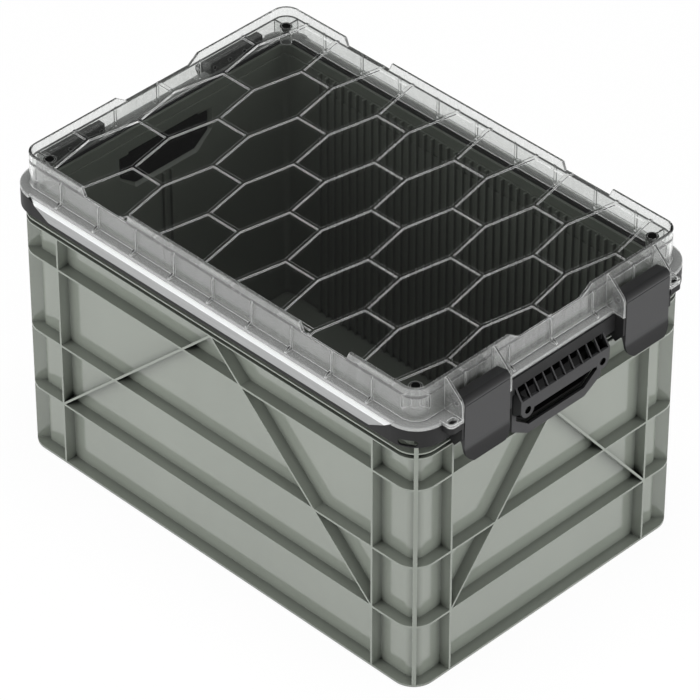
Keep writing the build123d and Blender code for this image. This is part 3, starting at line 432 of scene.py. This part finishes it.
def give(material, *nodes):
    """The nodes get the material in place of what they came with."""
    for name in nodes:
        mesh = NODES[name].data
        mesh.materials.clear()
        mesh.materials.append(material)


class CRATE_OT_body(bpy.types.Operator):
    """Gives the crate its moulded plastic"""

    bl_idname = "crate.body"
    bl_label = "Crate body"

    def execute(self, context):
        colours = context.scene.crate_colours
        give(sage_plastic("sage_plastic", colours.crate), "crate_body")
        return {"FINISHED"}


class CRATE_OT_frame(bpy.types.Operator):
    """Gives the top frame, latch keepers, seal and side rails their finishes"""

    bl_idname = "crate.top_frame"
    bl_label = "Top frame and rails"

    def execute(self, context):
        colours = context.scene.crate_colours
        keepers = [name for name in NODES if name.startswith("latch_keeper")]
        give(dark_plastic("frame_plastic", colours.frame, gloss=0.15), "top_frame", *keepers)
        give(soft_rubber("seal_foam", colours.liner), "lid_gasket")
        give(anodised("rail_aluminium", colours.rail), "side_rail_left", "side_rail_right")
        return {"FINISHED"}


class CRATE_OT_grips(bpy.types.Operator):
    """Gives the grip hoods, the liners and all black screws their finishes"""

    bl_idname = "crate.grips"
    bl_label = "Grips"

    def execute(self, context):
        colours = context.scene.crate_colours
        # The hoods get painted shade in their slots and recesses.
        hood = dark_plastic("grip_plastic", colours.grip, shade_reach=HOOD_SHADE_REACH)
        liner = dark_plastic("liner_plastic", colours.liner, rough=0.5, gloss=0.08)
        screw = black_screw("black_screws", colours.frame)
        give(hood, "front_grip_hood", "rear_grip_hood")
        give(liner, "front_grip_liner", "rear_grip_liner")
        give(screw, "grip_screws", "hinge_frame_screws", "hinge_lid_screws")
        return {"FINISHED"}


class CRATE_OT_lid(bpy.types.Operator):
    """Gives the lid its clear plastic and the corner plugs their rubber"""

    bl_idname = "crate.lid"
    bl_label = "Lid"

    def execute(self, context):
        colours = context.scene.crate_colours
        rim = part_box("lid_shell")[0].z + FLANGE_HEIGHT
        give(clear_plastic("clear_polycarbonate", colours.clear, rim), "lid_shell")
        give(soft_rubber("plug_rubber", colours.liner), "lid_corner_plugs")
        return {"FINISHED"}


class CRATE_OT_latches(bpy.types.Operator):
    """Gives the latches, hinge leaves and pins their finishes"""

    bl_idname = "crate.latches"
    bl_label = "Latches and hinges"

    def execute(self, context):
        colours = context.scene.crate_colours
        low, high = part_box("latch_left")
        crest, lip = high.z - CREST_DROP, low.z + LIP_HEIGHT
        leaves = [name for name in NODES if name.startswith(("hinge_frame_leaf", "hinge_lid_leaf"))]
        pins = [name for name in NODES if "_pin_" in name]
        # The hinge leaves get a strong painted highlight on their edges.
        hinge = dark_plastic("hinge_plastic", colours.liner, rough=0.18, gloss=0.5, edge_highlight=60.0)
        give(latch_plastic("latch_plastic", colours.latch, crest, lip), "latch_left", "latch_right")
        give(hinge, *leaves)
        give(turned_steel("turned_steel", colours.steel), *pins)
        return {"FINISHED"}


class CRATE_OT_stage(bpy.types.Operator):
    """Makes the pale floor, the sky, the lamps and the camera"""

    bl_idname = "crate.stage"
    bl_label = "Stage"

    def execute(self, context):
        levels = context.scene.crate_studio
        context.scene.view_settings.view_transform = "Standard"
        self.floor()
        self.sky(levels)
        for way in SIDE_LAMPS:
            self.lamp("side_lamp", levels.key, way, SIDE_SIZE)
        self.lamp("top_lamp", levels.roof, ROOF_LAMP, ROOF_SIZE)
        self.camera(levels)
        return {"FINISHED"}

    def floor(self):
        """A floor just under the crate that keeps a soft shadow and looks white elsewhere."""
        make = new_finish("studio_floor")
        lit = make.node("ShaderNodeBsdfDiffuse", sockets={"Color": FLOOR_SHADE})
        glow = make.node("ShaderNodeEmission", sockets={"Color": WHITE, "Strength": 1.0})
        seen = make.rays("Camera", "Glossy", "Transmission")
        mesh = bpy.data.meshes.new("floor")
        near, far = -FLOOR_REACH, FLOOR_REACH
        corners = [(near, near, 0), (far, near, 0), (far, far, 0), (near, far, 0)]
        mesh.from_pydata(corners, [], [(0, 1, 2, 3)])
        mesh.materials.append(make.finish(make.mixed(seen * FLOOR_GLOW, lit, glow)))
        ground = bpy.data.objects.new("floor", mesh)
        ground.location.z = CAD_BOX[0].z - FLOOR_GAP
        bpy.context.scene.collection.objects.link(ground)

    def sky(self, levels):
        """A sky that fades upwards to a dark cap, and is white where it is looked at."""
        world = bpy.data.worlds.new("studio_sky")
        bpy.context.scene.world = world
        make = Finish(world)
        way = make.node("ShaderNodeTexCoord", out="Generated")
        height = make.apart(way)[2]
        cap = make.between(make.dot(way, CAP_WAY), *CAP_SPAN)
        faded = levels.sky * make.between(height, *SKY_SPAN, 1.0, levels.top)
        shade = make.node("ShaderNodeMapRange", sockets={
            "Value": cap, "To Min": faded, "To Max": levels.cap})
        seen = make.rays("Camera").larger(make.rays("Transmission") * (height < 0.0))
        light, white = [make.node("ShaderNodeBackground", sockets={
            "Color": WHITE, "Strength": strength}) for strength in (shade, 1.0)]
        both = make.mixed(seen, light, white)
        make.node("ShaderNodeOutputWorld", sockets={"Surface": both})

    def lamp(self, name, power, side, size):
        """A lamp on that side that leaves no glare on the lid."""
        data = bpy.data.lights.new(name, "AREA")
        data.shape = "RECTANGLE"
        data.size, data.size_y = size
        data.energy = power
        lamp = bpy.data.objects.new(name, data)
        lamp.visible_glossy = False
        lamp.visible_transmission = False
        way = Vector(side).normalized()
        lamp.location = way * LAMP_DISTANCE
        lamp.rotation_euler = way.to_track_quat("Z", "Y").to_euler()
        bpy.context.scene.collection.objects.link(lamp)

    def camera(self, levels):
        """A camera at the photograph's viewing angle."""
        data = bpy.data.cameras.new("photo_camera")
        data.lens = levels.lens
        data.sensor_width = SENSOR_WIDTH
        data.clip_start, data.clip_end = CAMERA_CLIP
        camera = bpy.data.objects.new("photo_camera", data)
        camera.location = CAMERA_PLACE
        camera.rotation_euler = [math.radians(turn) for turn in CAMERA_TURN]
        bpy.context.scene.collection.objects.link(camera)
        bpy.context.scene.camera = camera


PIECES = (CRATE_OT_body, CRATE_OT_frame, CRATE_OT_grips,
          CRATE_OT_lid, CRATE_OT_latches, CRATE_OT_stage)


class CRATE_PT_panel(bpy.types.Panel):
    """Lists the crate's settings and the operators that make its pieces"""

    bl_idname = "CRATE_PT_panel"
    bl_label = "Storage crate"
    bl_space_type = "VIEW_3D"
    bl_region_type = "UI"
    bl_category = "Crate"

    def draw(self, context):
        scene = context.scene
        for group in (scene.crate_colours, scene.crate_studio):
            box = self.layout.box()
            for key in type(group).__annotations__:
                box.prop(group, key)
        for operator in PIECES:
            self.layout.operator(operator.bl_idname)


CLASSES = (CrateColours, StudioLevels) + PIECES + (CRATE_PT_panel,)


def register():
    for kind in CLASSES:
        bpy.utils.register_class(kind)
    bpy.types.Scene.crate_colours = PointerProperty(type=CrateColours)
    bpy.types.Scene.crate_studio = PointerProperty(type=StudioLevels)


def unregister():
    del bpy.types.Scene.crate_colours
    del bpy.types.Scene.crate_studio
    for kind in reversed(CLASSES):
        bpy.utils.unregister_class(kind)


def main():
    register()
    for operator in PIECES:
        group, name = operator.bl_idname.split(".")
        getattr(getattr(bpy.ops, group), name)()


if __name__ == "__main__":
    main()
